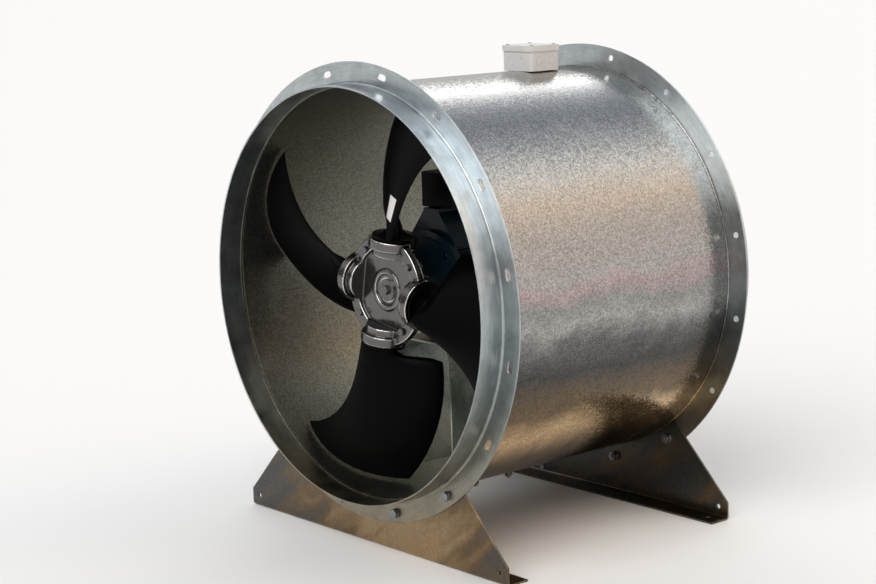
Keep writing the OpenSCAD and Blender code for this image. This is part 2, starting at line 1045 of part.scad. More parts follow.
module blade_wing() {
    loop = 2 * chord_steps;
    points = [for (i = [0 : span_steps]) each section_ring(station(i))];
    sides = [
        for (i = [0 : span_steps - 1], k = [0 : loop - 1])
            let (a = i * loop + k, b = i * loop + (k + 1) % loop)
                each [[a, b, b + loop], [a, b + loop, a + loop]]];
    polyhedron(points, concat(cap_faces(0, true), sides, cap_faces(span_steps * loop, false)));
}

module blade(index) {
    color("darkgray")
        at_axis()
            translate([0, impeller_y, 0])
                rotate([0, blade_angles[index], 0])
                    union() {
                        root_profile(0);
                        root_bell();
                        blade_wing();
                    }
}

module blade_1() {
    blade(0);
}

module blade_2() {
    blade(1);
}

module blade_3() {
    blade(2);
}

module blade_4() {
    blade(3);
}

// Junction box on the crown of the casing

module at_box() {
    translate([0, box_y, axis_h + box_z])
        children();
}

module knock_out_groove() {
    tube(knock_r, knock_r - knock_groove, -over, knock_depth);
}

module junction_box() {
    color("whitesmoke")
        at_box()
            difference() {
                rounded_plate(box_w, box_l, box_h, box_round);
                translate([0, 0, box_t])
                    plate_hollow(box_w, box_l, box_h, box_round, box_t);
                for (turn = [0 : 90 : 270], x = [-1, 1])
                    rotate([0, 0, turn])
                        translate([x * knock_x, -(turn % 180 == 0 ? box_l : box_w) / 2, box_h / 2])
                            knock_out_groove();
                for (x = [-1, 1])
                    translate([x * box_screw_x, 0, -over])
                        cylinder(r = M4[0] / 2 + hole_gap / 4, h = box_t + 2 * over);
                translate([0, 0, -over])
                    cylinder(r = grommet_r, h = box_t + 2 * over);
            }
}

module junction_lid() {
    color("whitesmoke")
        at_box()
            translate([0, 0, box_h])
                difference() {
                    rounded_plate(box_w + 2 * lid_rim, box_l + 2 * lid_rim, lid_h, box_round + lid_rim);
                    translate([0, 0, -over])
                        plate_hollow(box_w, box_l, lid_h - box_t + over, box_round, box_t);
                    corners(box_w / 2 - lid_screw_inset, box_l / 2 - lid_screw_inset) {
                        cylinder(r = M4[0] / 2 + thread_gap, h = lid_h + over);
                        translate([0, 0, lid_h - M4[2] / 2])
                            cylinder(r = M4[4] + thread_gap, h = M4[2]);
                    }
                }
}

module junction_lid_screws() {
    color("lightgray")
        at_box()
            corners(box_w / 2 - lid_screw_inset, box_l / 2 - lid_screw_inset)
                translate([0, 0, box_h + lid_h - box_t - screw_bite - M4[2] / 2])
                    pan_screw(M4, box_t + screw_bite);
}

module junction_fixing_screws() {
    color("gainsboro")
        at_box()
            for (x = [-1, 1])
                translate([x * box_screw_x, 0, -casing_t - fixing_tail])
                    pan_screw(M4, casing_t + fixing_tail + box_t);
}

module casing_grommet() {
    color("black")
        at_box()
            difference() {
                union() {
                    translate([0, 0, -casing_t - grommet_tail])
                        cylinder(r = grommet_r - seat_gap, h = grommet_tail + casing_t + box_t + over);
                    translate([0, 0, box_t])
                        cylinder(r = grommet_r + grommet_lip, h = grommet_lip_h);
                }
                translate([0, 0, -casing_t - grommet_tail - over])
                    cylinder(r = grommet_r - grommet_wall,
                             h = grommet_tail + casing_t + box_t + grommet_lip_h + 2 * over);
            }
}

casing_tube();
front_flange_ring();
rear_flange_ring();
front_foot();
rear_foot();
foot_bolts();
foot_washers();
foot_nuts();
motor_support();
support_bolts();
support_nuts();
motor_frame();
front_end_shield();
rear_end_shield();
end_shield_screws();
stator_core();
stator_windings();
rotor_core();
motor_shaft();
front_bearing();
rear_bearing();
motor_bolts();
terminal_box();
terminal_lid();
terminal_lid_screws();
terminal_gland();
hub_front();
hub_rear();
hub_bush();
shaft_key();
hub_clamp_bolts();
hub_clamp_nuts();
hub_centre_bolt();
hub_centre_washer();
blade_1();
blade_2();
blade_3();
blade_4();
junction_box();
junction_lid();
junction_lid_screws();
junction_fixing_screws();
casing_grommet();
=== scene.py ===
"""Dresses a long-cased axial duct fan: metal and plastic finishes, seams, studio and camera."""
import math

import bmesh
import bpy
from mathutils import Matrix, Vector
from mathutils.bvhtree import BVHTree


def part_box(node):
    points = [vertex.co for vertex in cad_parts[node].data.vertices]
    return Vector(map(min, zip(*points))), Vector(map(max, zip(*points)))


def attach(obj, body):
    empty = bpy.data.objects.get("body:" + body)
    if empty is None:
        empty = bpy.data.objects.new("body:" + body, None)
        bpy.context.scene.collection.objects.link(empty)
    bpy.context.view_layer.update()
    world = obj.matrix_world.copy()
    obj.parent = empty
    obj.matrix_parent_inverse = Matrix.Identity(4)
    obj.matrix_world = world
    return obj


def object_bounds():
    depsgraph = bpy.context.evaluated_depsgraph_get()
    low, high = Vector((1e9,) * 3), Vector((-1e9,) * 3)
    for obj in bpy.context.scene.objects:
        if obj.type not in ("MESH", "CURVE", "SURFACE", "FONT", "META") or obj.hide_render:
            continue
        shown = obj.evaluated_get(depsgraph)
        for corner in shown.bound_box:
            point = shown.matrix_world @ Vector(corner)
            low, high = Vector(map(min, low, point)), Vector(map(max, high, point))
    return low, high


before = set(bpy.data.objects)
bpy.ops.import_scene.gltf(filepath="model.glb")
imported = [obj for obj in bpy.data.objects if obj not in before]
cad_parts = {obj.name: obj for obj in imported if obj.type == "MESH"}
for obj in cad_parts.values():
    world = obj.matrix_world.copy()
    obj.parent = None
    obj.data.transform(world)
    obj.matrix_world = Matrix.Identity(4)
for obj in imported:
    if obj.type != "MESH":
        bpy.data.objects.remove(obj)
CAD_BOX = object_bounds()

bl_info = {
    "name": "Axial duct fan",
    "version": (1, 0, 0),
    "blender": (4, 5, 0),
    "location": "View3D > Sidebar > Fan",
    "description": "Finishes and trim for a long-cased axial duct fan",
    "category": "Object",
}

MM = 0.001


def linear(hex_colour):
    """Linear RGBA of an sRGB hex colour."""
    channels = [int(hex_colour[i:i + 2], 16) / 255 for i in (1, 3, 5)]
    return tuple(c / 12.92 if c <= 0.04045 else ((c + 0.055) / 1.055) ** 2.4 for c in channels) + (1.0,)


def per_metre(millimetres):
    """Texture scale whose pattern repeats about once in the given length."""
    return 1 / (millimetres * MM)


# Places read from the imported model

CASING_LOW, CASING_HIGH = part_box("casing_tube")
CASING_R = (CASING_HIGH.x - CASING_LOW.x) / 2
AXIS_Z = (CASING_LOW.z + CASING_HIGH.z) / 2

# Sheet thickness of the flange rings
FLANGE_T = 3 * MM

# Widths of the rounded edges
RING_EDGE = 0.8 * MM
PLATE_EDGE = 0.6 * MM
FASTENER_EDGE = 0.35 * MM
MOTOR_EDGE = 1.2 * MM
GLAND_EDGE = 0.6 * MM
BOX_EDGE = 0.9 * MM


class FanColours(bpy.types.PropertyGroup):
    """Colours that a user would change."""

    sheet: bpy.props.FloatVectorProperty(
        name="Galvanised sheet", description="Zinc skin of the casing",
        subtype="COLOR", size=4, min=0, max=1, default=linear("#a4a3a0"))
    # Golden tint of the film, also used as a painted warm floor reflection low on the casing and on the feet
    film_and_painted_light: bpy.props.FloatVectorProperty(
        name="Passivating film", description="Golden film on the feet and low on the casing",
        subtype="COLOR", size=4, min=0, max=1, default=linear("#a68d6c"))
    # Painted rosy reflection on the casing's side
    painted_rosy_reflection: bpy.props.FloatVectorProperty(
        name="Film blush", description="Rosy tint where the passivating film begins on the casing's side",
        subtype="COLOR", size=4, min=0, max=1, default=linear("#c0aeae"))
    dust: bpy.props.FloatVectorProperty(
        name="Dusty bore", description="Zinc under the fine dust that dulls the bore of the casing",
        subtype="COLOR", size=4, min=0, max=1, default=linear("#87867a"))
    ring: bpy.props.FloatVectorProperty(
        name="Flange rings", description="Zinc skin of the rolled rings",
        subtype="COLOR", size=4, min=0, max=1, default=linear("#c0c7ca"))
    bracket: bpy.props.FloatVectorProperty(
        name="Motor support", description="Zinc skin of the bent motor support",
        subtype="COLOR", size=4, min=0, max=1, default=linear("#b4bab3"))
    hub: bpy.props.FloatVectorProperty(
        name="Hub", description="Die-cast aluminium of the hub",
        subtype="COLOR", size=4, min=0, max=1, default=linear("#72706f"))
    blade: bpy.props.FloatVectorProperty(
        name="Blades", description="Moulded blade plastic",
        subtype="COLOR", size=4, min=0, max=1, default=linear("#040405"))
    motor: bpy.props.FloatVectorProperty(
        name="Motor", description="Enamel on the motor",
        subtype="COLOR", size=4, min=0, max=1, default=linear("#071e29"))
    box: bpy.props.FloatVectorProperty(
        name="Junction box", description="Moulded box on the crown of the casing",
        subtype="COLOR", size=4, min=0, max=1, default=linear("#dddbd9"))
    floor: bpy.props.FloatVectorProperty(
        name="Floor", description="Pale studio floor",
        subtype="COLOR", size=4, min=0, max=1, default=linear("#fbfbfa"))


class FanSizes(bpy.types.PropertyGroup):
    """Sizes that a user would change."""

    spangle: bpy.props.FloatProperty(
        name="Spangle", description="Width of the zinc crystals on the sheet",
        unit="LENGTH", default=3.0 * MM)
    seam_angle: bpy.props.FloatProperty(
        name="Seam angle", description="Place of the casing's weld seam, from the crown",
        subtype="ANGLE", default=math.radians(-9))
    seam_width: bpy.props.FloatProperty(
        name="Seam width", description="Width of the weld bead along the casing",
        unit="LENGTH", default=7 * MM)
    seam_height: bpy.props.FloatProperty(
        name="Seam height", description="Height of the weld bead above the sheet",
        unit="LENGTH", default=1.4 * MM)
    bead_radius: bpy.props.FloatProperty(
        name="Bead radius", description="Radius of the sealing bead between casing and flange rings",
        unit="LENGTH", default=2.4 * MM)
    casting_grid: bpy.props.FloatProperty(
        name="Casting grid", description="Grid on which the hub's edges are melted into cast fillets",
        unit="LENGTH", default=1.5 * MM)
    strip_thickness: bpy.props.FloatProperty(
        name="Strip thickness", description="Thickness of the blank white strip on one blade",
        unit="LENGTH", default=0.5 * MM)


# Nodes and materials

def node(tree, kind, inputs=None, stops=None, **settings):
    """Adds a node with its settings, the stops of a colour ramp, and its inputs as values or links."""
    made = tree.nodes.new(kind)
    for name, value in settings.items():
        setattr(made, name, value)
    if stops:
        elements = made.color_ramp.elements
        while len(elements) < len(stops):
            elements.new(0.5)
        for element, (position, colour) in zip(elements, stops):
            element.position = position
            element.color = colour
    for name, value in (inputs or {}).items():
        if isinstance(value, bpy.types.NodeSocket):
            tree.links.new(value, made.inputs[name])
        else:
            made.inputs[name].default_value = value
    return made


def grey(value):
    """A neutral colour of the given linear value."""
    return (value, value, value, 1.0)


def shade(colour, factor):
    """The colour, made lighter or darker."""
    return tuple(min(1.0, channel * factor) for channel in colour[:3]) + (1.0,)


def start_material(name):
    """A new material, its tree, its shader and the place on the object that patterns follow."""
    material = bpy.data.materials.new(name)
    material.use_nodes = True
    tree = material.node_tree
    return material, tree, tree.nodes["Principled BSDF"], node(tree, "ShaderNodeTexCoord").outputs["Object"]


def from_axis(tree, place):
    """The place measured from the fan's axis: its X, Y and Z, and its distance from the axis."""
    centred = node(tree, "ShaderNodeVectorMath", {0: place, 1: (0, 0, AXIS_Z)}, operation="SUBTRACT")
    parts = node(tree, "ShaderNodeSeparateXYZ", {0: centred.outputs[0]})
    across = node(tree, "ShaderNodeVectorMath", {0: centred.outputs[0], 1: (1, 0, 1)}, operation="MULTIPLY")
    reach = node(tree, "ShaderNodeVectorMath", {0: across.outputs[0]}, operation="LENGTH")
    return parts.outputs, reach.outputs["Value"]


# Depth under the casing's outer skin at which a face belongs to the bore
BORE_DEPTH = 0.2 * MM
# Levels above the axis between which the film's tint and the painted light and shade run, and how far its
# patches shift them
FILM_AND_PAINTED_LIGHT_LOW = -0.88 * CASING_R
FILM_AND_PAINTED_LIGHT_HIGH = 0.42 * CASING_R
FILM_AND_PAINTED_LIGHT_DRIFT = 0.24 * CASING_R
# Tones from the underside up: painted shade underneath, a painted golden reflection, painted dark bands
# and a painted rosy reflection, partly in the film's tint. Each: place between those levels, colour and how
# light it is
FILM_AND_PAINTED_LIGHT_TONES = [(0.0, "film_and_painted_light", 0.45), (0.15, "film_and_painted_light", 0.8), (0.26, "film_and_painted_light", 2.7), (0.37, "film_and_painted_light", 0.6),
              (0.53, "sheet", 0.24), (0.62, "sheet", 0.46), (0.7, "sheet", 1.2), (0.76, "sheet", 0.95),
              (0.82, "painted_rosy_reflection", 1.0), (0.88, "sheet", 1.3)]


# Hot-dip galvanised sheet: the zinc freezes into flat crystals, each tilted a little, so that the
# reflected bands break up into a fine glitter. Handling leaves pale smears. The outside is painted
# with light and shade by height, partly in the film's golden tint: a painted rosy reflection on the
# side, painted dark bands below it, a painted golden reflection low down and painted shade on the
# underside. Fine dust dulls the bore. Crystals are drawn coarse enough to show.
def galvanised_sheet(colours, sizes):
    material, tree, shader, place = start_material("hot_dip_galvanised_sheet")
    parts, reach = from_axis(tree, place)
    bore = node(tree, "ShaderNodeMath", {0: reach, 1: CASING_R - BORE_DEPTH},
                operation="LESS_THAN").outputs[0]

    times_finer = 2.3
    crystals = node(tree, "ShaderNodeTexVoronoi", {"Vector": place, "Scale": 1 / sizes.spangle})
    small = node(tree, "ShaderNodeTexVoronoi", {"Vector": place, "Scale": times_finer / sizes.spangle})
    both = node(tree, "ShaderNodeMix", {0: 0.5, 6: crystals.outputs["Color"], 7: small.outputs["Color"]},
                data_type="RGBA").outputs[2]
    grain = node(tree, "ShaderNodeSeparateColor", {"Color": both})
    lean = node(tree, "ShaderNodeVectorMath", {0: both, 1: (0.5, 0.5, 0.5)}, operation="SUBTRACT")
    tilt = node(tree, "ShaderNodeMapRange", {"Value": bore, "To Min": 0.16, "To Max": 0.05})
    leaned = node(tree, "ShaderNodeVectorMath", {0: lean.outputs[0], "Scale": tilt.outputs[0]},
                  operation="SCALE")
    geometry = node(tree, "ShaderNodeNewGeometry")
    facing = node(tree, "ShaderNodeVectorMath", {0: geometry.outputs["Normal"], 1: leaned.outputs[0]})
    normal = node(tree, "ShaderNodeVectorMath", {0: facing.outputs[0]}, operation="NORMALIZE")
    ripple = node(tree, "ShaderNodeTexNoise", {"Vector": place, "Scale": per_metre(1.1), "Detail": 2})
    bump = node(tree, "ShaderNodeBump", {"Height": ripple.outputs["Fac"], "Normal": normal.outputs[0],
                                         "Strength": 0.12, "Distance": 0.3 * MM})
    tree.links.new(bump.outputs[0], shader.inputs["Normal"])

    smears = node(tree, "ShaderNodeTexNoise", {"Vector": place, "Scale": per_metre(90), "Detail": 5,
                                               "Roughness": 0.62, "Distortion": 0.8})
    bloom = node(tree, "ShaderNodeValToRGB", {"Fac": smears.outputs["Fac"]},
                 stops=[(0.55, grey(0)), (0.78, grey(0.4))]).outputs["Color"]
    glints = node(tree, "ShaderNodeValToRGB", {"Fac": grain.outputs[0]},
                  stops=[(0.25, grey(0.5)), (0.75, grey(1))])
    skin = node(tree, "ShaderNodeMix", {0: bloom, 6: glints.outputs["Color"], 7: grey(1.15)},
                data_type="RGBA")
    patches = node(tree, "ShaderNodeTexNoise", {"Vector": place, "Scale": per_metre(110), "Detail": 6,
                                                "Roughness": 0.6, "Distortion": 1.0})
    level = node(tree, "ShaderNodeMath", {0: patches.outputs["Fac"], 1: FILM_AND_PAINTED_LIGHT_DRIFT, 2: parts["Z"]},
                 operation="MULTIPLY_ADD")
    height = node(tree, "ShaderNodeMapRange", {"Value": level.outputs[0], "From Min": FILM_AND_PAINTED_LIGHT_LOW,
                                               "From Max": FILM_AND_PAINTED_LIGHT_HIGH})
    # Painted light and shade by height: rosy and golden painted reflections, dark bands and a shaded
    # underside
    film_and_painted_light = node(tree, "ShaderNodeValToRGB", {"Fac": height.outputs[0]},
                stops=[(at, shade(getattr(colours, name), light)) for at, name, light in FILM_AND_PAINTED_LIGHT_TONES])
    base = node(tree, "ShaderNodeMix", {0: bore, 6: film_and_painted_light.outputs["Color"], 7: colours.dust},
                data_type="RGBA")
    tinted = node(tree, "ShaderNodeMix", {0: 1.0, 6: skin.outputs[2], 7: base.outputs[2]},
                  data_type="RGBA", blend_type="MULTIPLY")
    tree.links.new(tinted.outputs[2], shader.inputs["Base Color"])

    dull = node(tree, "ShaderNodeMapRange", {"Value": grain.outputs[1], "To Min": 0.13, "To Max": 0.28})
    smeared = node(tree, "ShaderNodeMath", {0: bloom, 1: 0.2, 2: dull.outputs[0]}, operation="MULTIPLY_ADD")
    dusty = node(tree, "ShaderNodeMath", {0: bore, 1: 0.16, 2: smeared.outputs[0]}, operation="MULTIPLY_ADD")
    tree.links.new(dusty.outputs[0], shader.inputs["Roughness"])
    shader.inputs["Metallic"].default_value = 1.0
    return material


# Galvanised strip rolled to a ring: a smoother zinc skin with long faint streaks round the ring,
# cloudy patches where the bath drained off, and painted shade with a painted warm floor reflection,
# darker and warmer towards the floor
def rolled_zinc(colour):
    material, tree, shader, place = start_material("rolled_galvanised_ring")
    parts, reach = from_axis(tree, place)
    turn = node(tree, "ShaderNodeMath", {0: parts["X"], 1: parts["Z"]}, operation="ARCTAN2")
    unrolled = node(tree, "ShaderNodeCombineXYZ", {0: turn.outputs[0], 1: reach, 2: parts["Y"]})
    streaks_per_radian = 9
    along = node(tree, "ShaderNodeVectorMath",
                 {0: unrolled.outputs[0], 1: (streaks_per_radian, per_metre(3), per_metre(3))},
                 operation="MULTIPLY")
    streaks = node(tree, "ShaderNodeTexNoise", {"Vector": along.outputs[0], "Scale": 1.0, "Detail": 3})
    cloud = node(tree, "ShaderNodeTexNoise", {"Vector": place, "Scale": per_metre(40), "Detail": 5,
                                              "Roughness": 0.6})
    tone = node(tree, "ShaderNodeMix", {0: 0.6, 2: streaks.outputs["Fac"], 3: cloud.outputs["Fac"]})
    zinc = node(tree, "ShaderNodeValToRGB", {"Fac": tone.outputs[0]},
                stops=[(0.3, shade(colour, 0.7)), (0.5, colour), (0.68, shade(colour, 1.3))])
    # Painted shade and painted warm floor reflection: the ring is darker and warmer towards the floor
    tint_top = 0.3 * CASING_R
    height = node(tree, "ShaderNodeMapRange", {"Value": parts["Z"], "From Min": -CASING_R,
                                               "From Max": tint_top})
    film_and_painted_light = node(tree, "ShaderNodeValToRGB", {"Fac": height.outputs[0]},
                stops=[(0.0, linear("#c4b49c")), (0.5, linear("#c6c8c4")), (1.0, grey(1))])
    tinted = node(tree, "ShaderNodeMix", {0: 1.0, 6: zinc.outputs["Color"], 7: film_and_painted_light.outputs["Color"]},
                  data_type="RGBA", blend_type="MULTIPLY")
    tree.links.new(tinted.outputs[2], shader.inputs["Base Color"])
    dull = node(tree, "ShaderNodeMapRange", {"Value": cloud.outputs["Fac"], "To Min": 0.2, "To Max": 0.44})
    tree.links.new(dull.outputs[0], shader.inputs["Roughness"])
    bump = node(tree, "ShaderNodeBump", {"Height": tone.outputs[0], "Strength": 0.2, "Distance": 0.25 * MM})
    tree.links.new(bump.outputs[0], shader.inputs["Normal"])
    shader.inputs["Metallic"].default_value = 1.0
    return material


# Galvanised plate, cut and bent: fine upright mill lines in a small-grained zinc skin, over which
# lie soft slanting bands of painted reflection and painted shade, from pale to dark, in the plate's
# tone. A painted pool of light makes it palest round one place.
def zinc_plate(name, colour, dark, band_mm, painted_pool_at, painted_pool_reach):
    material, tree, shader, place = start_material(name)
    band_width = band_mm * MM
    band_length = 3.5 * band_width
    # Slanting bands of painted reflection and painted shade
    slant = math.radians(-35)
    slanted = node(tree, "ShaderNodeMapping",
                   {"Vector": place, "Rotation": (0, slant, 0), "Scale": (band_length, band_width, band_width)},
                   vector_type="TEXTURE")
    clouds = node(tree, "ShaderNodeTexNoise", {"Vector": slanted.outputs[0], "Scale": 1.0, "Detail": 3,
                                               "Distortion": 0.4})
    # Painted pool of light round one place
    away = node(tree, "ShaderNodeVectorMath", {0: place, 1: painted_pool_at}, operation="DISTANCE")
    near = node(tree, "ShaderNodeMapRange", {"Value": away.outputs["Value"], "From Max": painted_pool_reach,
                                             "To Min": 1, "To Max": 0}, interpolation_type="SMOOTHSTEP")
    # How lit the plate is painted: its slanting bands and its pool of light together
    thin = node(tree, "ShaderNodeMix", {0: 0.35, 2: clouds.outputs["Fac"], 3: near.outputs[0]})
    film_and_painted_light = node(tree, "ShaderNodeValToRGB", {"Fac": thin.outputs[0]},
                stops=[(0.28, dark), (0.45, shade(colour, 0.55)), (0.62, shade(colour, 1.15))])
    mill = node(tree, "ShaderNodeVectorMath", {0: place, 1: (per_metre(2.2), per_metre(2.2), per_metre(45))},
                operation="MULTIPLY")
    lines = node(tree, "ShaderNodeTexNoise", {"Vector": mill.outputs[0], "Scale": 1.0, "Detail": 3})
    grain = node(tree, "ShaderNodeTexVoronoi", {"Vector": place, "Scale": per_metre(2.6)})
    flecks = node(tree, "ShaderNodeSeparateColor", {"Color": grain.outputs["Color"]})
    speckle = node(tree, "ShaderNodeMix", {0: 0.4, 2: lines.outputs["Fac"], 3: flecks.outputs[0]})
    toned = node(tree, "ShaderNodeValToRGB", {"Fac": speckle.outputs[0]},
                 stops=[(0.25, grey(0.72)), (0.7, grey(1))])
    skin = node(tree, "ShaderNodeMix", {0: 1.0, 6: film_and_painted_light.outputs["Color"], 7: toned.outputs["Color"]},
                data_type="RGBA", blend_type="MULTIPLY")
    tree.links.new(skin.outputs[2], shader.inputs["Base Color"])
    dull = node(tree, "ShaderNodeMapRange", {"Value": speckle.outputs[0], "To Min": 0.22, "To Max": 0.42})
    tree.links.new(dull.outputs[0], shader.inputs["Roughness"])
    bump = node(tree, "ShaderNodeBump", {"Height": speckle.outputs[0], "Strength": 0.2, "Distance": 0.2 * MM})
    tree.links.new(bump.outputs[0], shader.inputs["Normal"])
    shader.inputs["Metallic"].default_value = 1.0
    return material


# Plated, ground or enamelled metal: mottled reflectance and a soft skin
def plain_metal(name, colour, roughness, grain_mm, height_mm):
    material, tree, shader, place = start_material(name)
    cloud = node(tree, "ShaderNodeTexNoise", {"Vector": place, "Scale": per_metre(14), "Detail": 4,
                                              "Roughness": 0.6})
    tone = node(tree, "ShaderNodeValToRGB", {"Fac": cloud.outputs["Fac"]},
                stops=[(0.3, shade(colour, 0.8)), (0.7, shade(colour, 1.2))])
    tree.links.new(tone.outputs["Color"], shader.inputs["Base Color"])
    dull = node(tree, "ShaderNodeMapRange", {"Value": cloud.outputs["Fac"], "To Min": roughness - 0.08,
                                             "To Max": roughness + 0.1})
    tree.links.new(dull.outputs[0], shader.inputs["Roughness"])
    skin = node(tree, "ShaderNodeTexNoise", {"Vector": place, "Scale": per_metre(grain_mm), "Detail": 3})
    bump = node(tree, "ShaderNodeBump", {"Height": skin.outputs["Fac"], "Strength": 0.5,
                                         "Distance": height_mm * MM})
    tree.links.new(bump.outputs[0], shader.inputs["Normal"])
    shader.inputs["Metallic"].default_value = 1.0
    return material


# Die-cast aluminium, tumbled: a dark glossy casting skin with soft ripples, rubbed bright along its
# raised edges, where highlights are also painted, and painted shade in its corners
def tumbled_casting(colour):
    material, tree, shader, place = start_material("die_cast_aluminium")
    cloud = node(tree, "ShaderNodeTexNoise", {"Vector": place, "Scale": per_metre(22), "Detail": 4,
                                              "Roughness": 0.6})
    # Pointiness paints highlights on raised edges, together with rubbed wear, and painted shade in corners
    edges = node(tree, "ShaderNodeNewGeometry").outputs["Pointiness"]
    wear_and_painted_light = node(tree, "ShaderNodeMath", {0: cloud.outputs["Fac"], 1: 0.03, 2: edges},
                  operation="MULTIPLY_ADD")
    tone = node(tree, "ShaderNodeValToRGB", {"Fac": wear_and_painted_light.outputs[0]},
                stops=[(0.45, shade(colour, 0.3)), (0.505, shade(colour, 0.7)), (0.53, colour),
                       (0.56, shade(colour, 5))])
    tree.links.new(tone.outputs["Color"], shader.inputs["Base Color"])
    dull = node(tree, "ShaderNodeMapRange", {"Value": cloud.outputs["Fac"], "To Min": 0.08, "To Max": 0.3})
    tree.links.new(dull.outputs[0], shader.inputs["Roughness"])
    ripples = node(tree, "ShaderNodeTexNoise", {"Vector": place, "Scale": per_metre(11), "Detail": 4})
    bump = node(tree, "ShaderNodeBump", {"Height": ripples.outputs["Fac"], "Strength": 0.6,
                                         "Distance": 0.8 * MM})
    tree.links.new(bump.outputs[0], shader.inputs["Normal"])
    shader.inputs["Metallic"].default_value = 1.0
    return material


# Moulded or painted skins: a faint grain, soft clouds in gloss and a little dust in the tone
def moulded(name, colour, roughness, grain_mm, height_mm, dust=0.25, coat=0.0, specular=0.5):
    material, tree, shader, place = start_material(name)
    cloud = node(tree, "ShaderNodeTexNoise", {"Vector": place, "Scale": per_metre(45), "Detail": 5,
                                              "Roughness": 0.65})
    tone = node(tree, "ShaderNodeValToRGB", {"Fac": cloud.outputs["Fac"]},
                stops=[(0.35, shade(colour, 1 - dust / 2)), (0.75, shade(colour, 1 + dust))])
    tree.links.new(tone.outputs["Color"], shader.inputs["Base Color"])
    dull = node(tree, "ShaderNodeMapRange", {"Value": cloud.outputs["Fac"], "To Min": roughness - 0.06,
                                             "To Max": roughness + 0.08})
    tree.links.new(dull.outputs[0], shader.inputs["Roughness"])
    grain = node(tree, "ShaderNodeTexNoise", {"Vector": place, "Scale": per_metre(grain_mm), "Detail": 3})
    bump = node(tree, "ShaderNodeBump", {"Height": grain.outputs["Fac"], "Strength": 0.4,
                                         "Distance": height_mm * MM})
    tree.links.new(bump.outputs[0], shader.inputs["Normal"])
    shader.inputs["Coat Weight"].default_value = coat
    shader.inputs["Specular IOR Level"].default_value = specular
    return material


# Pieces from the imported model: welded, smoothed by angle and rounded along their edges

SMOOTHING = "weld and smooth"
SMOOTH_ANGLE = math.radians(32)
WELD_GAP = 0.005 * MM
FLAT_ANGLE = math.radians(0.05)
EDGE_ANGLE = math.radians(40)
FILLET_ROUNDS = 8


def smoothing_group():
    """Geometry nodes that join the split faces and shade them smooth up to the smoothing angle."""
    group = bpy.data.node_groups.new(SMOOTHING, "GeometryNodeTree")
    group.interface.new_socket("Geometry", in_out="INPUT", socket_type="NodeSocketGeometry")
    group.interface.new_socket("Geometry", in_out="OUTPUT", socket_type="NodeSocketGeometry")
    start = node(group, "NodeGroupInput")
    bare = node(group, "GeometryNodeRemoveAttribute", {0: start.outputs[0], "Name": "custom_normal"})
    welded = node(group, "GeometryNodeMergeByDistance", {"Geometry": bare.outputs[0], "Distance": WELD_GAP})
    faces = node(group, "GeometryNodeSetShadeSmooth", {0: welded.outputs[0], "Shade Smooth": True},
                 domain="FACE")
    angle = node(group, "GeometryNodeInputMeshEdgeAngle")
    soft = node(group, "FunctionNodeCompare", {0: angle.outputs[0], 1: SMOOTH_ANGLE}, operation="LESS_THAN")
    edges = node(group, "GeometryNodeSetShadeSmooth", {0: faces.outputs[0], "Shade Smooth": soft.outputs[0]},
                 domain="EDGE")
    node(group, "NodeGroupOutput", {0: edges.outputs[0]})
    return group


def dress_node(name, material):
    """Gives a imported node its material, and welds and smooths it."""
    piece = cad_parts[name]
    piece.data.materials.clear()
    piece.data.materials.append(material)
    group = bpy.data.node_groups.get(SMOOTHING) or smoothing_group()
    piece.modifiers.new("Weld and smooth", "NODES").node_group = group
    return piece


def finish_nodes(names, material, edge=0.0):
    """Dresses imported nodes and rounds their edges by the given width."""
    for name in names:
        piece = dress_node(name, material)
        if edge:
            flat = piece.modifiers.new("Join flats", "DECIMATE")
            flat.decimate_type = "DISSOLVE"
            flat.angle_limit = FLAT_ANGLE
            rounding = piece.modifiers.new("Edges", "BEVEL")
            rounding.width = edge
            rounding.segments = 2
            rounding.limit_method = "ANGLE"
            rounding.angle_limit = EDGE_ANGLE
            rounding.use_clamp_overlap = True
            even = piece.modifiers.new("Even shading", "WEIGHTED_NORMAL")
            even.keep_sharp = True


def finish_castings(names, material, grid):
    """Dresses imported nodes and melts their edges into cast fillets, on a fine grid."""
    for name in names:
        piece = dress_node(name, material)
        skin = piece.modifiers.new("Cast skin", "REMESH")
        skin.mode = "VOXEL"
        skin.voxel_size = grid
        skin.use_smooth_shade = True
        fillets = piece.modifiers.new("Fillets", "SMOOTH")
        fillets.factor = 0.5
        fillets.iterations = FILLET_ROUNDS


def add_piece(name, mesh, material, body):
    """Adds a new piece that rides on a body and takes its finish from a slot."""
    piece = bpy.data.objects.new(name, mesh)
    bpy.context.scene.collection.objects.link(piece)
    mesh.materials.append(material)
    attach(piece, body)
    return piece


def skin_mesh(name, rows, tube=False, ring=False):
    """Mesh of quads over rows of points.

    A tube closes each row, and a ring also joins the last row to the first.
    """
    build = bmesh.new()
    grid = [[build.verts.new(point) for point in row] for row in rows]
    pairs = list(zip(grid, grid[1:]))
    if ring:
        pairs.append((grid[-1], grid[0]))
    for near, far in pairs:
        count = len(near)
        for k in range(count if tube else count - 1):
            build.faces.new((near[k], near[(k + 1) % count], far[(k + 1) % count], far[k]))
    if tube and not ring:
        build.faces.new(list(reversed(grid[0])))
        build.faces.new(grid[-1])
    bmesh.ops.recalc_face_normals(build, faces=build.faces)
    for face in build.faces:
        face.smooth = True
    mesh = bpy.data.meshes.new(name)
    build.to_mesh(mesh)
    build.free()
    return mesh


def round_axis(angle, radius, y):
    """Point round the fan axis: angles start at the crown and grow towards +X."""
    return Vector((radius * math.sin(angle), y, AXIS_Z + radius * math.cos(angle)))


# Camera read from the photograph's rims, bolt circles and feet: places in metres, lens and sensor
# in millimetres

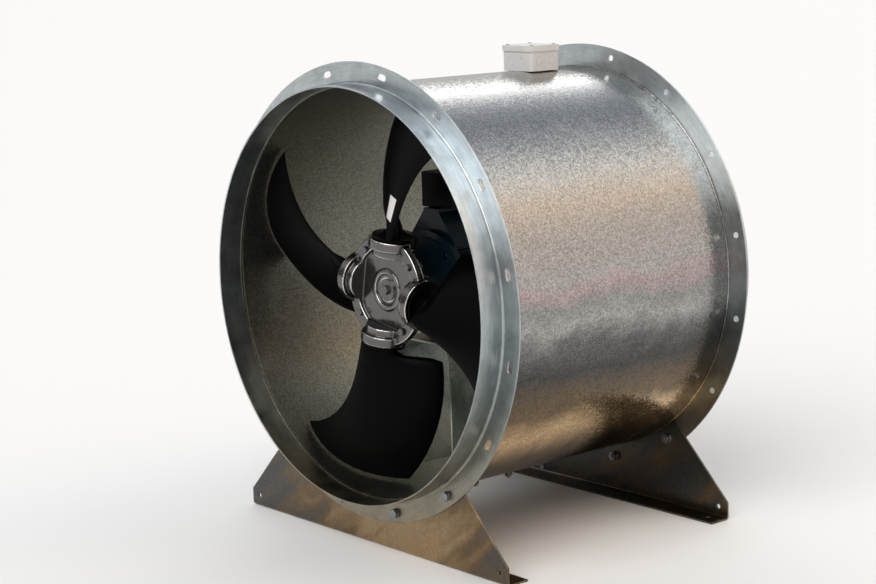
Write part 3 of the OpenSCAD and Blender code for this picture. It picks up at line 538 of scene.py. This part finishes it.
CAMERA_PLACE = Vector((3.0376, -2.6929, 1.1776))
CAMERA_TARGET = Vector((0.0, -0.1112, 0.4783))
CAMERA_ROLL = math.radians(-1.656)
CAMERA_LENS = 83.13
SENSOR_WIDTH = 36.0
IMAGE_WIDTH, IMAGE_HEIGHT = 876, 584

# Corners of the white strip in the photograph, in pixels: top left, top right, low right, low left
STRIP_CORNERS = [Vector(corner) for corner in
                 ((390.7, 194.5), (396.5, 200.0), (390.5, 222.5), (386.5, 217.5))]


def camera_frame():
    """The camera's place and turn as a matrix."""
    aim = (CAMERA_TARGET - CAMERA_PLACE).to_track_quat("-Z", "Y").to_matrix().to_4x4()
    return Matrix.Translation(CAMERA_PLACE) @ aim @ Matrix.Rotation(CAMERA_ROLL, 4, "Z")


def sight_line(pixel):
    """Direction from the camera through a pixel of the photograph."""
    per_pixel = SENSOR_WIDTH / CAMERA_LENS / IMAGE_WIDTH
    ray = Vector(((pixel.x - IMAGE_WIDTH / 2) * per_pixel, (IMAGE_HEIGHT / 2 - pixel.y) * per_pixel, -1))
    return (camera_frame().to_3x3() @ ray).normalized()


# Operators, one for each group of pieces and one for the studio

class FanOperator:
    """What the fan's operators share."""

    bl_options = {"REGISTER", "UNDO"}

    @property
    def colours(self):
        return bpy.context.scene.fan_colours

    @property
    def sizes(self):
        return bpy.context.scene.fan_sizes


class FAN_OT_casing(FanOperator, bpy.types.Operator):
    """Finish the rolled casing tube, lay its weld seam and seal it to the rings"""

    bl_idname = "fan.casing"
    bl_label = "Casing"

    def execute(self, context):
        sheet = galvanised_sheet(self.colours, self.sizes)
        finish_nodes(["casing_tube"], sheet)
        low, high = CASING_LOW.y + FLANGE_T, CASING_HIGH.y - FLANGE_T
        self.lay_seam(sheet, low, high)
        self.lay_bead("front_bead", sheet, low)
        self.lay_bead("rear_bead", sheet, high)
        return {"FINISHED"}

    def lay_seam(self, sheet, low, high):
        """A low weld bead along the tube, rippled by its runs, from flange to flange."""
        ripple_length = 4 * MM
        ripple_share = 0.14
        edge_sunk = 0.1 * MM
        root_depth = 0.6 * MM
        # Points across the seam, as shares of half its width
        across = (-1, -0.7, -0.35, 0, 0.35, 0.7, 1)
        angle = self.sizes.seam_angle
        half = self.sizes.seam_width / 2 / CASING_R
        steps = int((high - low) / ripple_length)
        rows = []
        for i in range(steps + 1):
            y = low + (high - low) * i / steps
            rise = self.sizes.seam_height * (1 - ripple_share + ripple_share * math.cos(math.pi * i))
            top = [(t, CASING_R + rise * math.cos(t * math.pi / 2) - edge_sunk) for t in across]
            under = [(t, CASING_R - root_depth) for t in (1, -1)]
            rows.append([round_axis(angle + t * half, radius, y) for t, radius in top + under])
        seam = skin_mesh("casing_seam", rows, tube=True)
        add_piece("casing_seam", seam, sheet, "casing")

    def lay_bead(self, name, sheet, y):
        """A thin sealing bead round the tube, in the corner under a flange."""
        radius = self.sizes.bead_radius
        inwards = math.copysign(1, -y)
        # Share of its radius by which the bead's middle stands off the flange
        stand_off = 0.7
        turns, sides = 240, 10
        section = [2 * math.pi * k / sides for k in range(sides)]
        rows = []
        for i in range(turns):
            angle = 2 * math.pi * i / turns
            rows.append([round_axis(angle, CASING_R + radius * math.sin(t),
                                    y + inwards * radius * (stand_off + math.cos(t))) for t in section])
        bead = skin_mesh(name, rows, tube=True, ring=True)
        add_piece(name, bead, sheet, "casing")


class FAN_OT_rings(FanOperator, bpy.types.Operator):
    """Finish the flange rings"""

    bl_idname = "fan.rings"
    bl_label = "Flange rings"

    def execute(self, context):
        finish_nodes(["front_flange_ring", "rear_flange_ring"], rolled_zinc(self.colours.ring), RING_EDGE)
        return {"FINISHED"}


class FAN_OT_feet(FanOperator, bpy.types.Operator):
    """Finish the two plate feet and the motor support"""

    bl_idname = "fan.feet"
    bl_label = "Feet and motor support"

    def execute(self, context):
        colours = self.colours
        # Both plates carry painted bands of light and shade and a painted pool of light; the feet's tan is
        # partly film and partly a painted warm reflection
        plate = zinc_plate("passivated_zinc_plate", colours.film_and_painted_light, shade(colours.sheet, 0.3), band_mm=50,
                           painted_pool_at=Vector((80 * MM, CASING_LOW.y, 0)), painted_pool_reach=400 * MM)
        bracket = zinc_plate("galvanised_bracket", colours.bracket, shade(colours.bracket, 0.5), band_mm=90,
                             painted_pool_at=Vector((0, CASING_LOW.y / 2, AXIS_Z - CASING_R)), painted_pool_reach=500 * MM)
        finish_nodes(["front_foot", "rear_foot"], plate, PLATE_EDGE)
        finish_nodes(["motor_support"], bracket, PLATE_EDGE)
        return {"FINISHED"}


class FAN_OT_fasteners(FanOperator, bpy.types.Operator):
    """Finish the bolts, nuts, washers and screws"""

    bl_idname = "fan.fasteners"
    bl_label = "Fasteners"

    def execute(self, context):
        bright = plain_metal("bright_zinc_plating", linear("#8f9395"), 0.3, grain_mm=0.8, height_mm=0.05)
        dull = plain_metal("dull_zinc_plating", linear("#6c6a68"), 0.28, grain_mm=0.8, height_mm=0.05)
        finish_nodes(
            ["foot_bolts", "foot_washers", "foot_nuts", "terminal_lid_screws", "junction_lid_screws",
             "junction_fixing_screws"], bright, FASTENER_EDGE)
        finish_nodes(
            ["end_shield_screws", "motor_bolts", "support_bolts", "support_nuts", "hub_clamp_bolts",
             "hub_clamp_nuts", "hub_centre_bolt", "hub_centre_washer"], dull, FASTENER_EDGE)
        return {"FINISHED"}


class FAN_OT_motor(FanOperator, bpy.types.Operator):
    """Finish the motor, its terminal box and the parts inside it"""

    bl_idname = "fan.motor"
    bl_label = "Motor"

    def execute(self, context):
        enamel = moulded("navy_motor_enamel", self.colours.motor, 0.4, grain_mm=1.2, height_mm=0.08,
                         coat=0.1, specular=0.3)
        black = moulded("black_moulded_box", linear("#0b0b0c"), 0.5, grain_mm=0.9, height_mm=0.06,
                        specular=0.2)
        steel = plain_metal("ground_steel", linear("#b4b6b8"), 0.24, grain_mm=0.4, height_mm=0.03)
        core = plain_metal("core_laminations", linear("#6e7073"), 0.42, grain_mm=0.6, height_mm=0.08)
        copper = plain_metal("enamelled_copper", linear("#a8562c"), 0.34, grain_mm=1.4, height_mm=0.3)
        finish_nodes(["motor_frame"], enamel)
        finish_nodes(["front_end_shield", "rear_end_shield"], enamel, MOTOR_EDGE)
        finish_nodes(["terminal_box", "terminal_lid"], black, MOTOR_EDGE)
        finish_nodes(["terminal_gland"], black, GLAND_EDGE)
        finish_nodes(["motor_shaft", "front_bearing", "rear_bearing", "hub_bush", "shaft_key"], steel)
        finish_nodes(["stator_core", "rotor_core"], core)
        finish_nodes(["stator_windings"], copper)
        return {"FINISHED"}


class FAN_OT_hub(FanOperator, bpy.types.Operator):
    """Finish the die-cast hub halves"""

    bl_idname = "fan.hub"
    bl_label = "Hub"

    def execute(self, context):
        casting = tumbled_casting(self.colours.hub)
        finish_castings(["hub_front", "hub_rear"], casting, self.sizes.casting_grid)
        return {"FINISHED"}


class FAN_OT_blades(FanOperator, bpy.types.Operator):
    """Finish the four blades and stick the blank strip on the first"""

    bl_idname = "fan.blades"
    bl_label = "Blades"

    def execute(self, context):
        plastic = moulded("glass_filled_polyamide", self.colours.blade, 0.36, grain_mm=2.5, height_mm=0.06,
                          specular=0.05)
        finish_nodes(["blade_1", "blade_2", "blade_3", "blade_4"], plastic)
        self.stick_strip()
        return {"FINISHED"}

    def stick_strip(self):
        """A blank white strip on the first blade, laid on its skin where the photograph shows it."""
        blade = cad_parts["blade_1"].data
        skin = BVHTree.FromPolygons([v.co for v in blade.vertices], [p.vertices for p in blade.polygons])
        top_left, top_right, low_right, low_left = STRIP_CORNERS
        across, down = 4, 14
        rows = []
        for i in range(down + 1):
            left = top_left.lerp(low_left, i / down)
            right = top_right.lerp(low_right, i / down)
            rows.append([self.on_skin(skin, left.lerp(right, k / across)) for k in range(across + 1)])
        vinyl = moulded("white_vinyl_strip", linear("#e4e2df"), 0.5, grain_mm=1.5, height_mm=0.03, dust=0.05)
        sheet = skin_mesh("blade_strip", rows)
        strip = add_piece("blade_strip", sheet, vinyl, "impeller")
        body = strip.modifiers.new("Thickness", "SOLIDIFY")
        body.thickness = self.sizes.strip_thickness
        body.offset = 0

    def on_skin(self, skin, pixel):
        """Where the sight line through a pixel meets the blade, lifted clear by the strip's thickness."""
        hit, normal = skin.ray_cast(CAMERA_PLACE, sight_line(pixel))[:2]
        if hit is None:
            raise RuntimeError("The strip misses its blade")
        towards = normal if normal.dot(CAMERA_PLACE - hit) > 0 else -normal
        return hit + towards * self.sizes.strip_thickness


class FAN_OT_junction_box(FanOperator, bpy.types.Operator):
    """Finish the junction box on the crown and its grommet"""

    bl_idname = "fan.junction_box"
    bl_label = "Junction box"

    def execute(self, context):
        plastic = moulded("light_grey_abs", self.colours.box, 0.5, grain_mm=1.0, height_mm=0.05, dust=0.08)
        rubber = moulded("black_rubber", linear("#141414"), 0.7, grain_mm=0.8, height_mm=0.1)
        finish_nodes(["junction_box", "junction_lid"], plastic, BOX_EDGE)
        finish_nodes(["casing_grommet"], rubber)
        return {"FINISHED"}


# Half the width of the floor, in metres
FLOOR_HALF = 60.0
# The floor lies this far under the feet, so that they share no face
FLOOR_GAP = 0.05 * MM

# The studio's strip lights run along the fan's axis. Each stop is an angle round that axis from
# overhead towards +X, the light's colour there and its strength.
STRIP_LIGHTS = [(-97, "#ffffff", 0.5), (-60, "#ffffff", 0.8), (-51, "#ffffff", 3.4),
                (-45, "#ffffff", 3.4), (-35, "#f0f6ff", 0.85), (-10, "#e0ecff", 0.48), (10, "#f4f8ff", 0.92),
                (28, "#fffdf8", 1.6), (46, "#ffe6d0", 1.55), (62, "#fff2e8", 1.1), (91, "#fff4f0", 1.05)]
BRIGHTEST = max(strength for angle, colour, strength in STRIP_LIGHTS)
# Share of the strips' light by the sine of the angle towards the rear
STRIP_SHARES = [(-1.0, 0.25), (0.0, 0.35), (0.5, 1.0)]
# A soft box in front, high and a little to the right, with the cosines of its outer and inner edge
SOFT_BOX_WAY = Vector((0.22, -0.69, 0.66)).normalized()
SOFT_BOX_EDGE = (0.86, 0.94)
SOFT_BOX_LIGHT = 2.9


class FAN_OT_studio(FanOperator, bpy.types.Operator):
    """Make the floor, the light and the camera"""

    bl_idname = "fan.studio"
    bl_label = "Studio"

    def execute(self, context):
        self.make_floor(context.scene)
        self.make_light(context.scene)
        self.make_camera(context.scene)
        context.scene.view_settings.view_transform = "Standard"
        return {"FINISHED"}

    def make_floor(self, scene):
        """A wide matt floor, pale enough to fade into the light."""
        material = bpy.data.materials.new("pale_studio_floor")
        material.use_nodes = True
        shader = material.node_tree.nodes["Principled BSDF"]
        shader.inputs["Base Color"].default_value = self.colours.floor
        shader.inputs["Roughness"].default_value = 0.9
        rows = [[(-FLOOR_HALF, y, 0), (FLOOR_HALF, y, 0)] for y in (-FLOOR_HALF, FLOOR_HALF)]
        mesh = skin_mesh("floor", rows)
        mesh.materials.append(material)
        floor = bpy.data.objects.new("floor", mesh)
        floor.location.z = CAD_BOX[0].z - FLOOR_GAP
        scene.collection.objects.link(floor)

    def make_light(self, scene):
        """A world of long strip lights, dimmer in front, with one soft box there."""
        world = bpy.data.worlds.new("studio")
        world.use_nodes = True
        scene.world = world
        tree = world.node_tree
        place = node(tree, "ShaderNodeTexCoord").outputs["Generated"]
        way = node(tree, "ShaderNodeSeparateXYZ", {0: place})
        turn = node(tree, "ShaderNodeMath", {0: way.outputs["X"], 1: way.outputs["Z"]}, operation="ARCTAN2")
        share = node(tree, "ShaderNodeMapRange", {"Value": turn.outputs[0], "From Min": -math.pi,
                                                  "From Max": math.pi})
        strips = node(tree, "ShaderNodeValToRGB", {"Fac": share.outputs[0]},
                      stops=[(0.5 + angle / 360, shade(linear(colour), strength / BRIGHTEST))
                             for angle, colour, strength in STRIP_LIGHTS])
        depth = node(tree, "ShaderNodeMapRange", {"Value": way.outputs["Y"], "From Min": -1})
        shares = node(tree, "ShaderNodeValToRGB", {"Fac": depth.outputs[0]},
                      stops=[(0.5 + sine / 2, grey(part)) for sine, part in STRIP_SHARES])
        lamps = node(tree, "ShaderNodeVectorMath", {0: strips.outputs["Color"], 1: shares.outputs["Color"]},
                     operation="MULTIPLY")
        aim = node(tree, "ShaderNodeVectorMath", {0: place, 1: SOFT_BOX_WAY}, operation="DOT_PRODUCT")
        outer, inner = SOFT_BOX_EDGE
        box = node(tree, "ShaderNodeMapRange", {"Value": aim.outputs["Value"], "From Min": outer,
                                                "From Max": inner, "To Max": SOFT_BOX_LIGHT / BRIGHTEST},
                   interpolation_type="SMOOTHSTEP")
        light = node(tree, "ShaderNodeVectorMath", {0: lamps.outputs[0], 1: box.outputs[0]})
        background = tree.nodes["Background"]
        tree.links.new(light.outputs[0], background.inputs["Color"])
        background.inputs["Strength"].default_value = BRIGHTEST

    def make_camera(self, scene):
        """The camera that took the photograph, as far as its rims and feet tell."""
        data = bpy.data.cameras.new("camera")
        data.lens = CAMERA_LENS
        data.sensor_width = SENSOR_WIDTH
        data.clip_end = 4 * FLOOR_HALF
        camera = bpy.data.objects.new("camera", data)
        camera.matrix_world = camera_frame()
        scene.collection.objects.link(camera)
        scene.camera = camera


STEPS = [FAN_OT_casing, FAN_OT_rings, FAN_OT_feet, FAN_OT_fasteners, FAN_OT_motor, FAN_OT_hub, FAN_OT_blades,
         FAN_OT_junction_box, FAN_OT_studio]


class FAN_PT_panel(bpy.types.Panel):
    """Lists the fan's colours, sizes and pieces"""

    bl_idname = "FAN_PT_panel"
    bl_label = "Axial duct fan"
    bl_space_type = "VIEW_3D"
    bl_region_type = "UI"
    bl_category = "Fan"

    def draw(self, context):
        for group in (context.scene.fan_colours, context.scene.fan_sizes):
            for name in group.bl_rna.properties.keys():
                if name not in ("rna_type", "name"):
                    self.layout.prop(group, name)
        for step in STEPS:
            self.layout.operator(step.bl_idname)


CLASSES = [FanColours, FanSizes, *STEPS, FAN_PT_panel]


def register():
    for cls in CLASSES:
        bpy.utils.register_class(cls)
    bpy.types.Scene.fan_colours = bpy.props.PointerProperty(type=FanColours)
    bpy.types.Scene.fan_sizes = bpy.props.PointerProperty(type=FanSizes)


def unregister():
    del bpy.types.Scene.fan_sizes
    del bpy.types.Scene.fan_colours
    for cls in reversed(CLASSES):
        bpy.utils.unregister_class(cls)


def main():
    register()
    for step in STEPS:
        group, name = step.bl_idname.split(".")
        getattr(getattr(bpy.ops, group), name)()
    bpy.context.view_layer.update()


if __name__ == "__main__":
    main()
